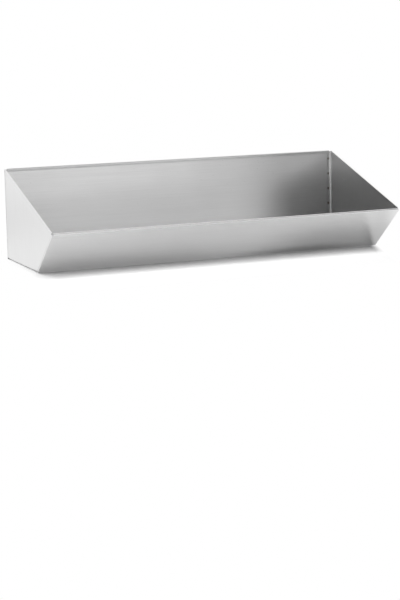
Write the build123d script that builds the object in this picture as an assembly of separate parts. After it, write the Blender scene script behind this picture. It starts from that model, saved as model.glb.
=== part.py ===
from build123d import *
from dataclasses import dataclass
from math import asin, atan2, cos, hypot, sin, tan
import os

# A trough feeder for poultry and small livestock, made as a sheet-metal shop makes it.
# One sheet is folded into the back wall, the floor and the sloping front apron, with a
# hem turned inside along both rims. Each end is closed by a flat cap whose three narrow
# flanges lie inside the shell and are spot-welded to it.
#
# Frame: X along the trough, +Y towards the back wall, +Z up. The origin lies on the
# ground, under the middle of the whole box.

# Driving dimensions, in millimetres
trough_length = 500.0      # over the outer faces of the two end caps
back_height = 125.0        # ground to the top of the back wall
floor_depth = 135.0        # outer face of the back wall to the fold between floor and apron
lip_height = 60.0          # ground to the top of the front lip
lip_overhang = 67.5        # how far the lip stands out beyond that fold

sheet = 1.0                # thickness of every sheet
fold_radius = 1.5          # inside radius of every fold

hem_depth = 4.5            # rim to the raw edge of the sheet turned back inside
hem_inside_radius = 0.35   # of a hem's turn
hem_edge_gap = 0.15        # slit between that raw edge and the wall, narrower than the turn
back_hem_setback = 3.5     # outer face of an end cap to the end of the back wall's hem
lip_hem_setback = 1.5      # the same for the hem on the front lip

flange_width = 6.5         # outer face of an end cap to the free edge of its flanges
flange_clearance = 0.5     # from the end of a flange to the fold or hem beyond it

weld_diameter = 3.0        # nugget of one spot weld
weld_root = 0.5            # how far a nugget reaches into the shell
weld_dent = 0.12           # how deep the electrode pressed its mark
weld_pitch = 22.0          # from one spot weld to the next
weld_end_distance = 7.0    # from the end of a flange to its first spot weld

# What follows from them
half_length = trough_length / 2
hem_radius = hem_inside_radius + sheet      # outside radius of a hem's turn
hem_middle_radius = hem_inside_radius + sheet / 2
fold_outer_radius = fold_radius + sheet

# A hem is shaped like a drop: from its turn, the flap leans back until its edge almost
# meets the wall. Its inner face is the tangent from that edge to the inside of the turn.
hem_drop = hem_depth - hem_radius
hem_lean = (asin(hem_inside_radius / hypot(hem_edge_gap - hem_inside_radius, hem_drop))
            - atan2(hem_edge_gap - hem_inside_radius, hem_drop))

back_y = (floor_depth + lip_overhang) / 2   # outer face of the back wall
front_fold_y = back_y - floor_depth
lip_y = front_fold_y - lip_overhang

# Centres of the two hem turns, so that the rims end exactly on the stated sizes
back_hem_centre = Vector(0, back_y - hem_radius, back_height - hem_radius)
lip_hem_centre = Vector(0, lip_y + hem_radius, lip_height - hem_radius)

# The apron's outer face leaves the front fold and just touches the lip hem's turn
lip_run = front_fold_y - lip_hem_centre.Y
apron_slope = (atan2(lip_hem_centre.Z, lip_run)
               - asin(hem_radius / hypot(lip_run, lip_hem_centre.Z)))
half_turn = tan(apron_slope / 2)            # front fold's setback, for each mm of radius
apron_up = Vector(0, -cos(apron_slope), sin(apron_slope))
apron_inward = Vector(0, sin(apron_slope), cos(apron_slope))

# Where the inner faces of the walls meet, and where they end at the two rims
back_corner = Vector(0, back_y - sheet, sheet)
front_corner = Vector(0, front_fold_y + sheet * half_turn, sheet)
back_rim = Vector(0, back_corner.Y, back_height)
lip_rim = lip_hem_centre + apron_up * hem_radius - apron_inward * hem_inside_radius

far = back_height + floor_depth + lip_overhang   # longer than any cut needs to be


@dataclass
class Wall:
    """One wall of the shell, as the end cap at +X meets it.

    Its plane lies on the wall's inner face: x runs along the wall, y from the cap's outer
    face towards the middle of the trough, and z into the trough. The flange on this wall
    runs from start to end, and its spot welds from first to last. A wall that ends in a
    hem has its rim at x = rim; rim_side is +1 or -1 as x rises or falls towards the rim,
    and setback is how far the hem ends from the cap's outer face.
    """
    plane: Plane
    start: float
    end: float
    first: float
    last: float
    rim: float = 0.0
    rim_side: int = 0
    setback: float = 0.0


def wall_plane(start, towards):
    """Plane on a wall's inner face, from one end of the wall towards the other."""
    along = (towards - start).normalized()
    return Plane(start + Vector(half_length, 0, 0), x_dir=along,
                 z_dir=Vector(1, 0, 0).cross(along))


def walls():
    """Apron, floor and back wall, in the order in which the sheet runs."""
    clear = max(fold_radius, sheet)           # a flange ends clear of the fold and its neighbour
    front_end = clear * half_turn + flange_clearance
    back_end = clear + flange_clearance
    hem_end = hem_depth + flange_clearance
    apron_length = (front_corner - lip_rim).length
    floor_length = (back_corner - front_corner).length
    back_length = (back_rim - back_corner).length

    apron = Wall(wall_plane(lip_rim, front_corner), 0.0, apron_length - front_end,
                 hem_end + weld_end_distance, apron_length - front_end - weld_end_distance,
                 0.0, -1, lip_hem_setback)
    floor = Wall(wall_plane(front_corner, back_corner), front_end, floor_length - back_end,
                 front_end + weld_end_distance, floor_length - back_end - weld_end_distance)
    back = Wall(wall_plane(back_corner, back_rim), back_end, back_length,
                back_length - hem_end - weld_end_distance, back_end + weld_end_distance,
                back_length, 1, back_hem_setback)
    return {"front": apron, "floor": floor, "back": back}


def hem_line(centre, wall_out, wall_up):
    """Middle line of a hem, from its raw edge over the rim to the wall's own middle line."""
    flap_side = wall_up * -sin(hem_lean) - wall_out * cos(hem_lean)
    flap_down = wall_out * sin(hem_lean) - wall_up * cos(hem_lean)
    flap_length = (hem_drop - hem_middle_radius * sin(hem_lean)) / cos(hem_lean)
    inside = centre + flap_side * hem_middle_radius
    outside = centre + wall_out * hem_middle_radius
    return [Line(inside + flap_down * flap_length, inside),
            ThreePointArc(inside, centre + wall_up * hem_middle_radius, outside)]


def shell_section():
    """Cross-section of the folded sheet, as a constant thickness along its middle line."""
    up = Vector(0, 0, 1)
    back = Vector(0, 1, 0)
    back_hem = hem_line(back_hem_centre, back, up)
    lip_hem = hem_line(lip_hem_centre, apron_inward * -1, apron_up)
    half = sheet / 2
    folds = FilletPolyline(
        back_hem_centre + back * hem_middle_radius,
        Vector(0, back_y - half, half),
        Vector(0, front_fold_y + half * half_turn, half),
        lip_hem_centre - apron_inward * hem_middle_radius,
        radius=fold_radius + half)
    middle_line = Wire([*back_hem, *folds.edges(), *lip_hem])
    across = Vector(1, 0, 0).cross(middle_line % 0) * half
    pen = Line(middle_line @ 0 - across, middle_line @ 0 + across)
    return Shell.sweep(pen, middle_line, transition=Transition.RIGHT)


def block(x, y, z):
    """Box between the given (low, high) limits."""
    low = Vector(x[0], y[0], z[0])
    return Pos(low) * Box(x[1] - x[0], y[1] - y[0], z[1] - z[0], align=Align.MIN)


def hem_relief(wall):
    """Material taken off the end of a hem, so that the end cap can pass beside it."""
    side = wall.rim_side
    turn = sorted([wall.rim - side * hem_radius, wall.rim + side * hem_radius])
    flap = sorted([wall.rim - side * 2 * hem_depth, wall.rim + side * hem_radius])
    across = (-sheet, wall.setback)
    return wall.plane * (block(turn, across, (-2 * sheet, far))
                         + block(flap, across, (hem_edge_gap / 2, far)))


def weld_places(wall):
    """Distances along a wall of its spot welds, counted from its first one."""
    run = wall.last - wall.first
    count = int(abs(run) / weld_pitch) + 1
    step = weld_pitch if run > 0 else -weld_pitch
    return [wall.first + step * i for i in range(count)]


def weld_columns(wall, top):
    """Cylinders at a wall's spot welds, from their roots in the shell up to a height."""
    middle = (fold_outer_radius + flange_width) / 2      # of the flange's flat land
    column = Cylinder(weld_diameter / 2, weld_root + top,
                      align=(Align.CENTER, Align.CENTER, Align.MIN))
    return [wall.plane * Pos(x, middle, -weld_root) * column for x in weld_places(wall)]


def trough_shell():
    """Back wall, floor and apron in one sheet, hemmed along both rims."""
    shell = extrude(shell_section().faces(), half_length, dir=(1, 0, 0), both=True)
    for wall in walls().values():
        cuts = weld_columns(wall, sheet)
        if wall.rim_side:
            cuts.append(hem_relief(wall))
        for cut in cuts:
            shell -= cut
            shell -= mirror(cut, Plane.YZ)
    return shell


def flange_blank(wall):
    """A wall's flange with its fold, square at both ends."""
    half = sheet / 2
    line = FilletPolyline((half, fold_outer_radius), (half, half), (flange_width, half),
                          radius=fold_radius + half)
    section = trace(line, line_width=sheet)
    strip = extrude(Plane.YZ * section, wall.end - wall.start)
    return wall.plane * Pos(wall.start, 0, 0) * strip


def rim_mitre(wall):
    """What is cut off a flange at 45 degrees, where it runs up to a hem."""
    side = wall.rim_side
    foot = wall.rim - side * (hem_depth + flange_clearance)
    outline = Polygon((foot + side * wall.setback, 0),
                      (foot - side * (flange_width - wall.setback), flange_width),
                      (wall.rim + side * far, flange_width),
                      (wall.rim + side * far, 0), align=None)
    cutter = extrude(outline, sheet + fold_outer_radius, dir=(0, 0, 1))
    return wall.plane * Pos(0, 0, -sheet) * cutter


def cap_plate():
    """The flat of an end cap, as far as the start of its folds; its top is cut later."""
    outline = Polyline(back_corner + Vector(0, 0, far), back_corner, front_corner,
                       front_corner + apron_up * far, close=True)
    flat = offset(make_face(outline), -fold_outer_radius, kind=Kind.INTERSECTION)
    return Pos(half_length - sheet, 0, 0) * extrude(flat, sheet, dir=(1, 0, 0))


def above_rims():
    """All that lies above a straight edge laid across the two rims."""
    along = (back_hem_centre - lip_hem_centre).normalized()
    rising = Vector(1, 0, 0).cross(along)
    laid = Plane(lip_hem_centre + rising * hem_radius, x_dir=along, z_dir=rising)
    return laid * Box(4 * far, 4 * half_length, far,
                      align=(Align.CENTER, Align.CENTER, Align.MIN))


def end_cap():
    """The cap at the +X end: a flat plate with a flange on each of its three lower edges."""
    cap = cap_plate()
    for wall in walls().values():
        flange = flange_blank(wall)
        if wall.rim_side:
            flange -= rim_mitre(wall)
        for column in weld_columns(wall, 2 * sheet):
            flange -= column
        cap += flange
    return cap - above_rims()


def spot_welds(wall):
    """The nuggets that join one flange of the +X cap to the shell."""
    return Compound(children=weld_columns(wall, sheet - weld_dent))


def save(shape, name):
    export_step(shape, f"parts/{name}.step")


os.makedirs("parts", exist_ok=True)
save(trough_shell(), "trough_shell")
right_cap = end_cap()
save(right_cap, "right_end_cap")
save(mirror(right_cap, Plane.YZ), "left_end_cap")
for place, wall in walls().items():
    welds = spot_welds(wall)
    save(welds, f"right_{place}_spot_welds")
    save(mirror(welds, Plane.YZ), f"left_{place}_spot_welds")
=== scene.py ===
# %% [markdown]
# # A folded stainless feed trough
#
# The trough is three pieces of satin stainless sheet: one long shell folded into back
# wall, floor and apron, and a cap at each end, held by rows of spot welds. Sheet metal has
# almost no colour of its own. Nearly everything that the eye reads as steel is the room
# mirrored in it, blurred by the brushing. So this lesson spends little on modelling and
# most on the room, the grain and the small marks of the workshop.
#
# The solids come ready made and at real size, in metres. They are never moved or
# reshaped here: they only get their finish.

# %% Load the finished metalwork
from math import cos, radians, sin

import bpy
from mathutils import Matrix, Vector


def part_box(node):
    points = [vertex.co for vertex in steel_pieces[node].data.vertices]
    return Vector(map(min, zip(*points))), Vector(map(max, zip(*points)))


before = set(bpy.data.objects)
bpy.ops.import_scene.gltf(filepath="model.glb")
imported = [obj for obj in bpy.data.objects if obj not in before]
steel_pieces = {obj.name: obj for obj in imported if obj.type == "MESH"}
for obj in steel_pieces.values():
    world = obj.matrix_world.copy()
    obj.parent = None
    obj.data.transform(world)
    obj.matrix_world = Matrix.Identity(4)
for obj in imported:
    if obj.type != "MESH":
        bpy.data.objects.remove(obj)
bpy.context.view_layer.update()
scene = bpy.context.scene
for name in sorted(steel_pieces):
    print(name, len(steel_pieces[name].data.polygons), "faces")

# %% [markdown]
# ## Camera
#
# A long lens from over two metres away keeps the trough's long edges nearly parallel. The
# camera looks from the front left, a little above the rim, and is tipped by one degree. It
# could be aimed with a constraint, but a plain matrix built from its own three axes says
# exactly where it stands and is easy to check.

# %% Camera
trough_low, trough_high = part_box("trough_shell")
back_face_y = trough_high.y

camera_place = Vector((-0.8762, back_face_y - 2.1416, 0.3381))
camera_azimuth = radians(-23.076)
camera_elevation = radians(10.223)
camera_roll = radians(-1.019)
lens_mm = 97.8
sensor_mm = 36.0


def heading(azimuth, elevation):
    """Unit vector: azimuth 0 points out of the open front, +90 past the right end."""
    return Vector((sin(azimuth) * cos(elevation), -cos(azimuth) * cos(elevation),
                   sin(elevation)))


def camera_axes(azimuth, elevation, roll):
    """Right, up and backward directions of a rolled camera."""
    back = heading(azimuth, elevation)
    right = Vector((0, 0, 1)).cross(back).normalized()
    up = back.cross(right)
    return right * cos(roll) + up * sin(roll), up * cos(roll) - right * sin(roll), back


camera_data = bpy.data.cameras.new("camera")
camera_data.sensor_fit = "VERTICAL"
camera_data.sensor_height = sensor_mm
camera_data.lens = lens_mm
camera = bpy.data.objects.new("camera", camera_data)
camera_turn = Matrix(camera_axes(camera_azimuth, camera_elevation, camera_roll))
camera.matrix_world = Matrix.Translation(camera_place) @ camera_turn.transposed().to_4x4()
scene.collection.objects.link(camera)
scene.camera = camera
scene.view_settings.view_transform = "Standard"
print("camera is", round(camera_place.length, 3), "m from the trough")

# %% [markdown]
# ## A few helpers for shader nodes
#
# Every material below is a small graph of nodes. Typing each node and link out in full
# hides the idea behind the bookkeeping, so a few helpers do that. The first ones add a
# node, fill a socket, do a sum and make a smooth step. The others start a material or a
# node group, place a group and mix two shaders.

# %% Nodes, sockets and sums
def add(tree, kind, **settings):
    """New node of a kind, with its settings."""
    node = tree.nodes.new("ShaderNode" + kind)
    for setting, value in settings.items():
        setattr(node, setting, value)
    return node


def feed(tree, socket, source):
    """Join another node's output to a socket, or write a plain value into it."""
    if isinstance(source, bpy.types.NodeSocket):
        tree.links.new(source, socket)
    else:
        socket.default_value = source


def sum_of(tree, operation, *sources):
    """Output of a Math node."""
    node = add(tree, "Math", operation=operation)
    for socket, source in zip(node.inputs, sources):
        feed(tree, socket, source)
    return node.outputs["Value"]


def vector_sum(tree, operation, *sources):
    """Output of a Vector Math node: a number for the sums that give one, else a vector."""
    node = add(tree, "VectorMath", operation=operation)
    for socket, source in zip(node.inputs, sources):
        feed(tree, socket, source)
    return node.outputs["Value" if operation in ("DOT_PRODUCT", "LENGTH") else "Vector"]


def ramp(tree, value, ends, low=0.0, high=1.0):
    """Smooth step from low to high, as a value passes between two ends."""
    node = add(tree, "MapRange", interpolation_type="SMOOTHSTEP")
    feed(tree, node.inputs["Value"], value)
    for name, source in (("From Min", ends[0]), ("From Max", ends[1]),
                         ("To Min", low), ("To Max", high)):
        feed(tree, node.inputs[name], source)
    return node.outputs["Result"]


print("helpers: add, feed, sum_of, vector_sum and ramp")

# %% Materials and node groups
def new_material(name):
    """Empty material, with its node tree and the socket that its shader goes into."""
    material = bpy.data.materials.new(name)
    material.use_nodes = True
    tree = material.node_tree
    tree.nodes.clear()
    return material, tree, add(tree, "OutputMaterial").inputs["Surface"]


def new_group(name, given, results):
    """Empty node group, with its inputs and outputs as (name, kind) pairs."""
    group = bpy.data.node_groups.new(name, "ShaderNodeTree")
    for direction, sockets in (("INPUT", given), ("OUTPUT", results)):
        for label, kind in sockets:
            group.interface.new_socket(label, in_out=direction,
                                       socket_type="NodeSocket" + kind)
    print("node group", name, "gives", " and ".join(label for label, kind in results))
    return (group, group.nodes.new("NodeGroupInput").outputs,
            group.nodes.new("NodeGroupOutput").inputs)


def place_group(tree, group, **given):
    """Put a node group into a material, with its inputs; underscores stand for spaces."""
    node = add(tree, "Group", node_tree=group)
    for name, source in given.items():
        feed(tree, node.inputs[name.replace("_", " ")], source)
    return node.outputs


def mix_shaders(tree, share, first, second):
    """One shader that gives way to another, by a share."""
    node = add(tree, "MixShader")
    feed(tree, node.inputs["Fac"], share)
    feed(tree, node.inputs[1], first)
    feed(tree, node.inputs[2], second)
    return node.outputs["Shader"]


def grey(tone):
    """Colour without a tint."""
    return (tone, tone, tone, 1)


print("helpers: new_material, new_group, place_group, mix_shaders and grey")

# %% [markdown]
# ## The room: white air
#
# The trough stands in a room of plain white. The camera and the metal's reflections see
# it at exactly 1, which is white. What really lights the floor is a separate, dimmer
# value, so the background can be pure white without flooding the object with light. White
# walls would look the same, but they would light the floor just as strongly as they look.

# %% White surroundings
room_white = 1.0                  # as seen by the camera and in the metal
fill_light = 0.096                # as it lights the paper


def seen_directly(tree):
    """1 for rays from the camera or through a mirror or glass, else 0."""
    rays = add(tree, "LightPath")
    seen = sum_of(tree, "MAXIMUM", rays.outputs["Is Camera Ray"],
                  rays.outputs["Is Glossy Ray"])
    return sum_of(tree, "MAXIMUM", seen, rays.outputs["Is Transmission Ray"])


def even_light(tree, strength):
    """White background of a strength."""
    light = add(tree, "Background")
    feed(tree, light.inputs["Color"], grey(1.0))
    feed(tree, light.inputs["Strength"], strength)
    return light.outputs["Background"]


world = bpy.data.worlds.new("white_room")
world.use_nodes = True
scene.world = world
air = world.node_tree
air.nodes.clear()
surroundings = mix_shaders(air, seen_directly(air), even_light(air, fill_light),
                           even_light(air, room_white))
feed(air, add(air, "OutputWorld").inputs["Surface"], surroundings)
print("the room is seen at", room_white, "and lights the floor at", fill_light)

# %% [markdown]
# ## The floor: paper that stays white and keeps a shadow
#
# A sheet of white paper lies under the trough. Lit only by a lamp it would fade to grey
# towards the horizon. So for the camera and for reflections it glows at 1, except near the
# trough, where the glow gives way to the paper's real shading and its soft shadow. Behind
# the trough an oval of shading will do, but in front it would leave a grey stain on the
# paper. There the shading stops soon before the apron, and past both ends it stops along
# lines that lean to the left, as the edge of the shadow does.

# %% Where the paper glows
fade_in_front = (0.11, 0.20)      # metres in front: shading begins to go, is gone
fade_past_ends = (0.243, 0.257)   # the same to either side of the next value
shadow_middle_x = -0.003
shadow_lean = 0.35                # shift to the left, for each metre in front of the fold
fold_line_y = -0.034              # of the fold under the apron
fade_behind = (0.55, 1.0)         # behind, as shares of the half sizes of the oval
behind_size = (0.28, 0.32, 1.0)
front_to_back = (-0.02, 0.06)     # where along Y the one rule gives way to the other


def away_from_trough(tree):
    """0 where the paper shows its own shading, 1 where it only glows."""
    place = add(tree, "NewGeometry").outputs["Position"]
    parts = add(tree, "SeparateXYZ")
    feed(tree, parts.inputs["Vector"], place)
    forwards = sum_of(tree, "MULTIPLY", parts.outputs["Y"], -1.0)
    past_fold = sum_of(tree, "MAXIMUM", sum_of(tree, "ADD", forwards, fold_line_y), 0.0)
    leaning = sum_of(tree, "MULTIPLY_ADD", past_fold, shadow_lean, parts.outputs["X"])
    sideways = sum_of(tree, "ABSOLUTE", sum_of(tree, "SUBTRACT", leaning, shadow_middle_x))
    in_front = sum_of(tree, "MAXIMUM", ramp(tree, forwards, fade_in_front),
                      ramp(tree, sideways, fade_past_ends))
    oval = vector_sum(tree, "LENGTH", vector_sum(tree, "DIVIDE", place, behind_size))
    behind = ramp(tree, oval, fade_behind)
    at_back = ramp(tree, parts.outputs["Y"], front_to_back)
    at_front = sum_of(tree, "SUBTRACT", 1.0, at_back)
    return sum_of(tree, "ADD", sum_of(tree, "MULTIPLY", behind, at_back),
                  sum_of(tree, "MULTIPLY", in_front, at_front))


print("in front, the paper's shading ends", fade_in_front[1], "m from the middle")

# %% Paper floor
paper_size = 40.0                 # metres, large enough that its edge is never seen
paper_albedo = 0.9
glow_in_mirror = 0.25             # least share of the glow that the metal sees


def paper_material():
    """White paper that glows by itself away from the trough."""
    material, tree, surface = new_material("white_paper")
    mirrored = add(tree, "LightPath").outputs["Is Glossy Ray"]
    glow = sum_of(tree, "MAXIMUM",
                  sum_of(tree, "MULTIPLY", seen_directly(tree), away_from_trough(tree)),
                  sum_of(tree, "MULTIPLY", mirrored, glow_in_mirror))
    shaded = add(tree, "BsdfDiffuse")
    feed(tree, shaded.inputs["Color"], grey(paper_albedo))
    glowing = add(tree, "Emission")
    feed(tree, glowing.inputs["Color"], grey(1.0))
    feed(tree, glowing.inputs["Strength"], room_white)
    feed(tree, surface, mix_shaders(tree, glow, shaded.outputs["BSDF"],
                                    glowing.outputs["Emission"]))
    return material


bpy.ops.mesh.primitive_plane_add(size=paper_size, location=(0, 0, 0))
floor = bpy.context.object
floor.name = "paper_floor"
floor.data.materials.append(paper_material())
print("paper floor", paper_size, "m across")

# %% [markdown]
# ## Black cloths and grey nets
#
# Metal in a pure white room looks like plaster. In a studio, steel is therefore
# surrounded with black cloth just out of view, and takes its dark half from that. A grey
# net does the same more gently. Each could be a plane of its own, but the brushing blurs
# their edges anyway. So they are soft-edged spots on two large clear things: a dome round
# the trough, and a rug that lies on the paper. Between the spots the metal sees the white
# room and the paper. Both things act only on reflections: the camera doesn't see them,
# they light nothing and they cast no shadow.

# %% A soft spot
spot_core = 0.23                  # share of a spot's radius that has its full depth


def soft_spot_group():
    """How clear a cloth is round one spot, from its centre, half sizes and depth."""
    group, given, result = new_group(
        "soft_spot", [("Centre", "Vector"), ("Half Size", "Vector"), ("Depth", "Float")],
        [("Clear", "Float")])
    here = add(group, "NewGeometry").outputs["Position"]
    away = vector_sum(group, "SUBTRACT", here, given["Centre"])
    share = vector_sum(group, "LENGTH", vector_sum(group, "DIVIDE", away, given["Half Size"]))
    deepest = sum_of(group, "SUBTRACT", 1.0, given["Depth"])
    feed(group, result["Clear"], ramp(group, share, (spot_core, 1.0), deepest, 1.0))
    return group


soft_spot = soft_spot_group()
print("a spot has its full depth over", spot_core, "of its radius")

# %% Cloth material
def cloth(name, spots):
    """Clear material with black or grey spots, each a centre, half sizes and a depth."""
    material, tree, surface = new_material(name)
    clear = 1.0
    for centre, half_size, depth in spots:
        spot = place_group(tree, soft_spot, Centre=centre, Half_Size=half_size, Depth=depth)
        clear = sum_of(tree, "MULTIPLY", clear, spot["Clear"])
    black = add(tree, "Emission")
    feed(tree, black.inputs["Strength"], 0.0)
    nothing = add(tree, "BsdfTransparent")
    feed(tree, surface, mix_shaders(tree, clear, black.outputs["Emission"],
                                    nothing.outputs["BSDF"]))
    print(name, "is clear but for", len(spots), "spots")
    return material


def show_only_to_metal(thing, name, material):
    """Name and dress a stage piece that only reflections see and that shades nothing."""
    thing.name = name
    thing.data.materials.append(material)
    thing.visible_camera = False
    thing.visible_diffuse = False
    thing.visible_transmission = False
    thing.visible_volume_scatter = False
    thing.visible_shadow = False

# %% Spots hung on the dome
dome_radius = 3.0
hung_spots = [                    # azimuth, elevation and angular radius, in degrees; depth
    (-53, 17, 67, 1.0),           # front left, the largest
    (-84, 62, 48, 1.0),           # high over the left end
    (10, -5, 120, 0.25),          # a thin net across the whole front
    (-9, 12, 22, 1.0),            # straight in front
    (41, 18, 35, 1.0),            # front right
    (0, 56, 29, 1.0),             # high in front
    (92, 62, 22, 0.38),           # a net high over the right end
    (150, 5, 40, 1.0)]            # behind, towards the right

on_dome = []
for azimuth, elevation, angle, depth in hung_spots:
    centre = heading(radians(azimuth), radians(elevation)) * dome_radius
    reach = 2 * dome_radius * sin(radians(angle) / 2)
    on_dome.append((centre, (reach, reach, reach), depth))

bpy.ops.mesh.primitive_uv_sphere_add(segments=64, ring_count=32, radius=dome_radius)
bpy.ops.object.shade_smooth()
show_only_to_metal(bpy.context.object, "cloth_dome", cloth("hung_cloth", on_dome))

# %% Spots laid on the rug
rug_size = 9.0
rug_height = 0.0005               # just clear of the paper
laid_spots = [                    # X and Y of the centre, half sizes along X and Y; depth
    (-1.73, -1.85, 2.3, 2.3, 1.0),        # black, over the whole front left
    # the next four spots are painted shade: they darken the paper under and before the apron
    # as the metal mirrors it
    (0.0, -0.15, 0.55, 0.11, 0.47),       # a net in front of the lip
    (0.19, -0.04, 0.15, 0.05, 0.33),      # nets under the right half of the apron,
    (-0.17, -0.032, 0.36, 0.028, 0.26),   # under its left half
    (0.135, -0.034, 0.14, 0.012, 0.4),    # and close along its fold
    (0.85, -0.75, 0.6, 0.6, 0.8),         # front right
    (-0.42, -0.84, 0.5, 0.5, 0.9),        # front left, nearer than the first
    (0.58, -0.43, 0.32, 0.32, 0.9),       # front right, nearer
    # painted shade: darkens the mirrored paper at the apron's right end
    (0.255, -0.055, 0.032, 0.06, 0.28),   # a small net at the apron's right end
    (0.3, 0.62, 0.9, 0.6, 0.6)]           # behind the back wall

on_rug = [((x, y, 0), (half_x, half_y, 1), depth)
          for x, y, half_x, half_y, depth in laid_spots]
bpy.ops.mesh.primitive_plane_add(size=rug_size, location=(0, 0, rug_height))
show_only_to_metal(bpy.context.object, "cloth_rug", cloth("laid_cloth_and_painted_shade", on_rug))

# %% [markdown]
# ## The lamp
#
# One large softbox hangs high in front, a little to the left. It lights the paper, and its
# height decides how far the shadow reaches out under the apron. A small lamp or a sun
# would draw a hard shadow. It is kept out of the reflections, where it would burn a white
# bar into the steel: the metal takes all its light from the white room.

# %% Softbox
lamp_distance = 2.0
lamp_azimuth = radians(-25)
lamp_elevation = radians(63)
lamp_size = (1.3, 1.7)
lamp_watts = 50

lamp_data = bpy.data.lights.new("key", "AREA")
lamp_data.shape = "RECTANGLE"
lamp_data.size, lamp_data.size_y = lamp_size
lamp_data.energy = lamp_watts
lamp = bpy.data.objects.new("key", lamp_data)
lamp.location = heading(lamp_azimuth, lamp_elevation) * lamp_distance
lamp.rotation_euler = (-lamp.location).to_track_quat("-Z", "Y").to_euler()
lamp.visible_camera = False
lamp.visible_glossy = False
scene.collection.objects.link(lamp)
print("softbox of", lamp_watts, "W,", lamp_distance, "m away")

# %% [markdown]
# ## Brushed grain
#
# Satin stainless is rubbed with an abrasive belt, which leaves parallel lines of uneven
# depth. Each line is much longer than it is wide, so the pattern is plain noise in
# stretched coordinates: a few lines per metre along the belt, many hundreds across it. A
# painted texture could do the same, but noise needs no unwrapping and stays sharp close
# up. The group gives fine lines, and broader streaks where the belt pressed harder.

# %% Brushed grain
along_belt = 16                   # lines in a metre, counted along the belt
across_belt = 1700                # and counted across it
streaks_per_line = 0.22


def noise(tree, where, scale, detail, roughness=0.5):
    """Noise between 0 and 1, mostly near 0.5."""
    node = add(tree, "TexNoise")
    feed(tree, node.inputs["Vector"], where)
    for name, number in (("Scale", scale), ("Detail", detail), ("Roughness", roughness)):
        feed(tree, node.inputs[name], number)
    return node.outputs["Fac"]


def brushed_grain_group():
    """Lines and streaks of a belt, from how many lines there are along X, Y and Z."""
    group, given, result = new_group("brushed_grain", [("Lines per Metre", "Vector")],
                                     [("Lines", "Float"), ("Streaks", "Float")])
    place = add(group, "TexCoord").outputs["Object"]
    stretched = vector_sum(group, "MULTIPLY", place, given["Lines per Metre"])
    feed(group, result["Lines"],
         noise(group, stretched, scale=1.0, detail=4.0, roughness=0.65))
    feed(group, result["Streaks"],
         noise(group, stretched, scale=streaks_per_line, detail=2.0))
    return group


brushed_grain = brushed_grain_group()
print("one line is about", round(1000 / across_belt, 2), "by", round(1000 / along_belt), "mm")

# %% [markdown]
# ## Handling marks
#
# A new trough isn't spotless: hands and cloths leave faint smudges, and stacking leaves
# thin scratches in odd directions. Both change the roughness more than the colour. The
# smudges are slow noise, and the scratches are stretched noise turned out of line with
# the belt, of which only the highest peaks are kept. They could be drawn one by one, but
# noise scatters them over every face without a pattern that the eye picks out.

# %% Handling marks
smudges_per_metre = 14.0
smudge_peaks = (0.42, 0.72)       # noise that begins to show as a smudge, and one in full
scratches_per_metre = (900, 45, 900)
scratch_peaks = (0.74, 0.80)


def handling_group():
    """Smudges, and scratches that run along a heading given as a rotation."""
    group, given, result = new_group("handling_marks", [("Scratch Heading", "Vector")],
                                     [("Smudges", "Float"), ("Scratches", "Float")])
    place = add(group, "TexCoord").outputs["Object"]
    slow = noise(group, place, scale=smudges_per_metre, detail=3.0)
    feed(group, result["Smudges"], ramp(group, slow, smudge_peaks))
    turned = add(group, "Mapping")
    feed(group, turned.inputs["Vector"], place)
    feed(group, turned.inputs["Rotation"], given["Scratch Heading"])
    feed(group, turned.inputs["Scale"], scratches_per_metre)
    sharp = noise(group, turned.outputs["Vector"], scale=1.0, detail=1.0)
    feed(group, result["Scratches"], ramp(group, sharp, scratch_peaks))
    return group


handling_marks = handling_group()
print("smudges are about", round(1000 / smudges_per_metre), "mm across")

# %% [markdown]
# ## Worn edges
#
# Where a sheet was cut, the edge is rounded off and rubbed bright. A Bevel node pretends
# that the edge is rounded, so comparing its normal with the true one finds the edges
# without any painting. It only looks round: the metal keeps its shape.

# %% Worn edges
edge_agreement = (0.995, 0.90)    # of the two normals: on flat metal, and where fully worn


def worn_edge_group():
    """Mask along cut edges, from how wide the wear is."""
    group, given, result = new_group("worn_edges", [("Width", "Float")], [("Worn", "Float")])
    rounded = add(group, "Bevel", samples=4)
    feed(group, rounded.inputs["Radius"], given["Width"])
    true_normal = add(group, "NewGeometry").outputs["True Normal"]
    agreement = vector_sum(group, "DOT_PRODUCT", rounded.outputs["Normal"], true_normal)
    feed(group, result["Worn"], ramp(group, agreement, edge_agreement))
    return group


worn_edges = worn_edge_group()

# %% [markdown]
# ## Strips along folds
#
# Some finishes belong to a place. The folding bar burnishes the turn of every fold, and a
# hem's flap gets scuffed. The turns are also given a lighter tone, a painted highlight.
# The faces there could get a material of their own, but its edge would be hard. So each
# place is a distance from a straight line turned into a soft mask.
# The length of a cross product with the line's direction is that distance. Both ends of
# the trough are alike, so X is counted from the middle towards either end.

# %% Strips along folds
def place_from_middle(tree):
    """Place on the object, with X always positive."""
    parts = add(tree, "SeparateXYZ")
    feed(tree, parts.inputs["Vector"], add(tree, "TexCoord").outputs["Object"])
    place = add(tree, "CombineXYZ")
    feed(tree, place.inputs["X"], sum_of(tree, "ABSOLUTE", parts.outputs["X"]))
    feed(tree, place.inputs["Y"], parts.outputs["Y"])
    feed(tree, place.inputs["Z"], parts.outputs["Z"])
    return place.outputs["Vector"]


def near_line_group():
    """Mask round a straight line: 1 inside one radius, 0 beyond a larger one."""
    group, given, result = new_group(
        "near_line", [("Point", "Vector"), ("Direction", "Vector"), ("Full", "Float"),
                      ("Gone", "Float")], [("Mask", "Float")])
    away = vector_sum(group, "SUBTRACT", place_from_middle(group), given["Point"])
    sideways = vector_sum(group, "CROSS_PRODUCT", away, given["Direction"])
    feed(group, result["Mask"], ramp(group, vector_sum(group, "LENGTH", sideways),
                                     (given["Full"], given["Gone"]), 1.0, 0.0))
    return group


near_line = near_line_group()

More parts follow.
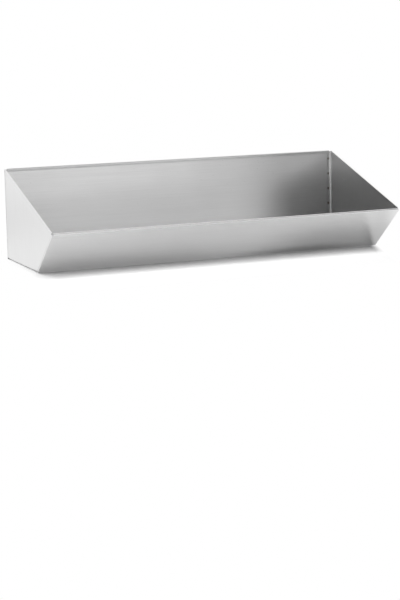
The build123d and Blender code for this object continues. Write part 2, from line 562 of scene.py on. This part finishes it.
# %% [markdown]
# ## Rings of heat
#
# A spot weld leaves a faint straw-brown ring in the steel round it. The welds stand in an
# evenly spaced row, so no list of them is needed: a height divided by the pitch, less its
# nearest whole number, says how far the closest weld is along the row.

# %% Rings of heat
heat_ring = (0.0014, 0.0024)      # from a weld's middle: the nugget's edge, the tint's end


def heat_ring_group():
    """Mask round a row of points: where it starts, its pitch, and its X from the middle."""
    group, given, result = new_group(
        "heat_rings", [("Along", "Float"), ("First", "Float"), ("Pitch", "Float"),
                       ("Inset", "Float")], [("Mask", "Float")])
    parts = add(group, "SeparateXYZ")
    feed(group, parts.inputs["Vector"], add(group, "TexCoord").outputs["Object"])
    from_first = sum_of(group, "SUBTRACT", given["Along"], given["First"])
    steps = sum_of(group, "DIVIDE", from_first, given["Pitch"])
    off_step = sum_of(group, "SUBTRACT", steps, sum_of(group, "ROUND", steps))
    from_middle = sum_of(group, "ABSOLUTE", parts.outputs["X"])
    away = add(group, "CombineXYZ")
    feed(group, away.inputs["X"], sum_of(group, "MULTIPLY", given["Pitch"], off_step))
    feed(group, away.inputs["Y"], sum_of(group, "SUBTRACT", from_middle, given["Inset"]))
    distance = vector_sum(group, "LENGTH", away.outputs["Vector"])
    feed(group, result["Mask"], ramp(group, distance, heat_ring, 1.0, 0.0))
    return group


heat_rings = heat_ring_group()

# %% [markdown]
# ## Satin steel
#
# Shell and caps are the same metal with the same grain, laid another way: along the trough
# on the shell, upright on the caps. Brushed metal also blurs reflections a little more
# across the lines than along them. Anisotropic does that: it blurs most along the tangent.
# A radial tangent circles an axis, so with the axis along the lines it lies across them.
# Mixing the masks into colour, roughness and a very shallow bump gives every face its own
# life without any of it shouting. One function makes both steels, and each sheet then adds
# the marks of its own places.

# %% Mixing by a share
def blend(tree, share, low, high):
    """Number between two others, by a share."""
    node = add(tree, "Mix", data_type="FLOAT", clamp_factor=True)
    feed(tree, node.inputs["Factor"], share)
    feed(tree, node.inputs["A"], low)
    feed(tree, node.inputs["B"], high)
    return node.outputs["Result"]


def tint(tree, share, first, second):
    """Colour between two others, by a share."""
    node = add(tree, "Mix", data_type="RGBA", clamp_factor=True)
    feed(tree, node.inputs["Factor"], share)
    feed(tree, node.inputs[6], first)
    feed(tree, node.inputs[7], second)
    return node.outputs[2]


def weaker(tree, mask, strength):
    """The same mask at less than full strength."""
    return sum_of(tree, "MULTIPLY", mask, strength)


print("helpers: blend, tint and weaker")

# %% Satin steel
satin_roughness = 0.30
anisotropy = 0.25
line_swing = 0.10                 # share of the tone that lines add or take away
streak_swing = 0.04               # roughness that streaks add or take away
streak_tone, streak_strength = 0.92, 0.25
smudge_roughness = 0.025          # what a full smudge adds
scratch_roughness, scratch_strength = 0.16, 0.5
burnished_roughness = 0.16
worn_width = 0.0005
worn_tone, worn_tone_strength, worn_shine_strength = 0.93, 0.5, 0.7
grain_depth = 0.000012
grain_bump = 0.3


def satin_steel(name, brush_axis, base_tone, scratch_heading):
    """Brushed steel, with the tone and roughness that its finish is still mixed from."""
    material, tree, surface = new_material(name)
    counts = [along_belt if axis == brush_axis else across_belt for axis in "XYZ"]
    grain = place_group(tree, brushed_grain, Lines_per_Metre=counts)
    marks = place_group(tree, handling_marks, Scratch_Heading=scratch_heading)
    worn = place_group(tree, worn_edges, Width=worn_width)["Worn"]

    tone = tint(tree, grain["Lines"], grey(base_tone * (1 - line_swing)),
                grey(base_tone * (1 + line_swing)))
    tone = tint(tree, weaker(tree, grain["Streaks"], streak_strength), tone,
                grey(base_tone * streak_tone))
    tone = tint(tree, weaker(tree, worn, worn_tone_strength), tone, grey(worn_tone))

    rough = blend(tree, grain["Streaks"], satin_roughness - streak_swing,
                  satin_roughness + streak_swing)
    rough = sum_of(tree, "ADD", rough, weaker(tree, marks["Smudges"], smudge_roughness))
    scratched = weaker(tree, marks["Scratches"], scratch_strength)
    rough = blend(tree, scratched, rough, scratch_roughness)
    rough = blend(tree, weaker(tree, worn, worn_shine_strength), rough, burnished_roughness)

    metal = add(tree, "BsdfPrincipled")
    metal.inputs["Metallic"].default_value = 1.0
    metal.inputs["Anisotropic"].default_value = anisotropy
    bump = add(tree, "Bump")
    feed(tree, bump.inputs["Height"], grain["Lines"])
    feed(tree, bump.inputs["Distance"], grain_depth)
    feed(tree, bump.inputs["Strength"], grain_bump)
    feed(tree, metal.inputs["Normal"], bump.outputs["Normal"])
    feed(tree, surface, metal.outputs["BSDF"])
    return material, tree, metal.inputs, tone, rough


print("satin steel has a roughness of", satin_roughness, "and", burnished_roughness,
      "where it is burnished")

# %% What both kinds of sheet share
def lines_along(tree, axis):
    """Tangent for brushed lines that run along an axis."""
    return add(tree, "Tangent", direction_type="RADIAL", axis=axis).outputs["Tangent"]


def near_turn(tree, point, direction, radius, full, gone):
    """Mask over the turn of a fold; full and gone are multiples of its radius."""
    return place_group(tree, near_line, Point=point, Direction=direction,
                       Full=radius * full, Gone=radius * gone)["Mask"]


def burnish_and_paint_highlight(tree, mask, tone, rough, burnish_and_highlight_tone):
    """Tone and roughness, burnished where a mask says so, and lightened there as a painted
    highlight.
    """
    return (tint(tree, mask, tone, grey(burnish_and_highlight_tone)),
            blend(tree, mask, rough, burnished_roughness))


print("helpers: lines_along, near_turn and burnish_and_paint_highlight")

# %% [markdown]
# ## The shell's finish
#
# The belt ran along the sheet before it was folded, so the lines follow the trough. The
# folds and the turn of the lip's hem were pressed hard against the tool and shine, and their
# tone is also lightened there as a painted highlight. The flap of the back hem slid over the
# bar and is dull. The places come from the shop's own sizes, because a fold's centre line is
# easier to work out than to pick by hand.

# %% Centre lines of the shell's folds
sheet = 0.001
fold_radius = 0.0015              # inside a fold
hem_radius = 0.00135              # outside a hem's turn
floor_depth = 0.135               # back face to the fold under the apron
lip_height = 0.060
half_turn = 0.37                  # tangent of half the apron's slope
flap_inset = 0.0018               # back face to the middle of the hem's flap
flap_drop = 0.0034                # and the rim to it
flap_fade = (0.0013, 0.0018)      # from that line: fully scuffed, not at all

along_trough = (1, 0, 0)
fold_centre = sheet + fold_radius
back_fold = (0, back_face_y - fold_centre, fold_centre)
front_fold = (0, back_face_y - floor_depth + half_turn * fold_centre, fold_centre)
lip_turn = (0, trough_low.y + hem_radius, lip_height - hem_radius)
flap_middle = (0, back_face_y - flap_inset, trough_high.z - flap_drop)
print("the lip's turn runs at", [round(1000 * part, 2) for part in lip_turn], "mm")

# %% Shell steel
shell_tone = 0.94
scuffed_roughness = 0.50


def shell_finish():
    """Lines along the trough, burnished folds with a painted highlight, and a dull flap."""
    material, tree, metal, tone, rough = satin_steel(
        "satin_shell_steel", "X", shell_tone, scratch_heading=(0.3, 0.5, 0.7))
    flap = place_group(tree, near_line, Point=flap_middle, Direction=along_trough,
                       Full=flap_fade[0], Gone=flap_fade[1])["Mask"]
    rough = blend(tree, flap, rough, scuffed_roughness)
    # burnished turns of the folds and the lip: less rough, and lighter in tone as a painted
    # highlight
    for centre_line in (back_fold, front_fold):
        turn = near_turn(tree, centre_line, along_trough, fold_radius, full=1.05, gone=1.3)
        tone, rough = burnish_and_paint_highlight(tree, turn, tone, rough, burnish_and_highlight_tone=0.97)
    turn = near_turn(tree, lip_turn, along_trough, hem_radius, full=1.02, gone=1.3)
    tone, rough = burnish_and_paint_highlight(tree, turn, tone, rough, burnish_and_highlight_tone=0.98)
    feed(tree, metal["Tangent"], lines_along(tree, "X"))
    feed(tree, metal["Base Color"], tone)
    feed(tree, metal["Roughness"], rough)
    return material


shell_steel = shell_finish()
print(shell_steel.name, "has", len(shell_steel.node_tree.nodes), "nodes")

# %% [markdown]
# ## The caps' finish
#
# The caps are cut so that the belt's lines stand upright, and they are a shade darker than
# the shell. Their flanges are so narrow that lines hardly show on them. There the tangent
# is the shell's, so that both sheets blur alike where they lie face to face. The turns of
# the flanges are burnished, and their tone is lightened as a painted highlight. Round the
# welds of the back flanges the heat has left its rings. The welds on the floor and the
# apron were cleaned, and have none.

# %% Places on the caps
weld_low, weld_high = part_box("right_back_spot_welds")
weld_radius = (weld_high.x - weld_low.x) / 2
weld_inset = (weld_low.x + weld_high.x) / 2
weld_pitch = 0.022
top_weld = weld_high.z - weld_radius
back_flange = (weld_low.y - 0.003, weld_low.y - 0.001)   # rings fade in between these Y

cap_fold_x = trough_high.x - sheet - fold_radius
cap_fold_inset = 2 * sheet + fold_radius                 # from the shell's outer face
cap_folds = [((cap_fold_x, back_face_y - cap_fold_inset, 0), (0, 0, 1)),
             ((cap_fold_x, 0, cap_fold_inset), (0, 1, 0))]
print("weld rows lie", round(1000 * (trough_high.x - weld_inset), 2), "mm from the ends")

# %% Cap steel
cap_tone = 0.84
heat_tint = (0.42, 0.36, 0.30, 1)
heat_strength = 0.4
end_face_normal = 0.5             # X of its normal beyond which a face looks along the trough


def cap_tangent(tree):
    """Upright lines on faces that look along the trough, and the shell's elsewhere."""
    facing = add(tree, "SeparateXYZ")
    feed(tree, facing.inputs["Vector"], add(tree, "NewGeometry").outputs["True Normal"])
    along = sum_of(tree, "ABSOLUTE", facing.outputs["X"])
    node = add(tree, "Mix", data_type="VECTOR")
    feed(tree, node.inputs["Factor"], sum_of(tree, "GREATER_THAN", along, end_face_normal))
    feed(tree, node.inputs[4], lines_along(tree, "X"))
    feed(tree, node.inputs[5], lines_along(tree, "Z"))
    return node.outputs[1]


def cap_finish():
    """Upright lines, burnished turns with a painted highlight, and rings of heat on the back
    flanges.
    """
    material, tree, metal, tone, rough = satin_steel(
        "satin_cap_steel", "Z", cap_tone, scratch_heading=(0.6, 0.2, 0.4))
    parts = add(tree, "SeparateXYZ")
    feed(tree, parts.inputs["Vector"], add(tree, "TexCoord").outputs["Object"])
    ring = place_group(tree, heat_rings, Along=parts.outputs["Z"], First=top_weld,
                       Pitch=weld_pitch, Inset=weld_inset)["Mask"]
    ring = sum_of(tree, "MULTIPLY", ring, ramp(tree, parts.outputs["Y"], back_flange))
    tone = tint(tree, weaker(tree, ring, heat_strength), tone, heat_tint)
    # burnished turns of the flanges: less rough, and lighter in tone as a painted highlight
    for point, direction in cap_folds:
        turn = near_turn(tree, point, direction, fold_radius, full=1.05, gone=1.4)
        tone, rough = burnish_and_paint_highlight(tree, turn, tone, rough, burnish_and_highlight_tone=0.99)
    feed(tree, metal["Tangent"], cap_tangent(tree))
    feed(tree, metal["Base Color"], tone)
    feed(tree, metal["Roughness"], rough)
    return material


cap_steel = cap_finish()
print(cap_steel.name, "has", len(cap_steel.node_tree.nodes), "nodes")

# %% [markdown]
# ## Weld nuggets
#
# The electrode leaves a small round mark of melted, oxidised steel. Those on the back
# flanges stay brown and dull. Those on the floor and the apron are brushed clean, as feed
# lies on them. Both need no direction, only a fine mottle, so the grain group serves again
# with equal counts along all three axes.

# %% Weld nuggets
mottle_per_metre = (900, 900, 900)
nugget_roughness = (0.28, 0.48)


def nugget_steel(name, darkest, lightest):
    """Mottled steel between two colours."""
    material, tree, surface = new_material(name)
    grain = place_group(tree, brushed_grain, Lines_per_Metre=mottle_per_metre)
    metal = add(tree, "BsdfPrincipled")
    metal.inputs["Metallic"].default_value = 1.0
    feed(tree, metal.inputs["Base Color"], tint(tree, grain["Lines"], darkest, lightest))
    feed(tree, metal.inputs["Roughness"], blend(tree, grain["Streaks"], *nugget_roughness))
    feed(tree, surface, metal.outputs["BSDF"])
    return material


weld_steel = nugget_steel("weld_steel", darkest=(0.26, 0.24, 0.22, 1),
                          lightest=(0.48, 0.45, 0.42, 1))
cleaned_weld = nugget_steel("cleaned_weld_steel", darkest=(0.66, 0.65, 0.64, 1),
                            lightest=(0.84, 0.84, 0.83, 1))
print("nugget finishes:", weld_steel.name, "and", cleaned_weld.name)

# %% [markdown]
# ## Dress the pieces
#
# Every piece keeps its mesh and its place, and only its one material slot changes. They
# could be dressed one by one, but their names say what each is, so a short rule picks the
# finish.

# %% Dress the pieces
def finish_for(name):
    """The material of a piece, by its name."""
    if "weld" in name:
        return weld_steel if "back" in name else cleaned_weld
    return cap_steel if "cap" in name else shell_steel


for name, piece in steel_pieces.items():
    piece.data.materials.clear()
    piece.data.materials.append(finish_for(name))
    print(name, "is", finish_for(name).name)
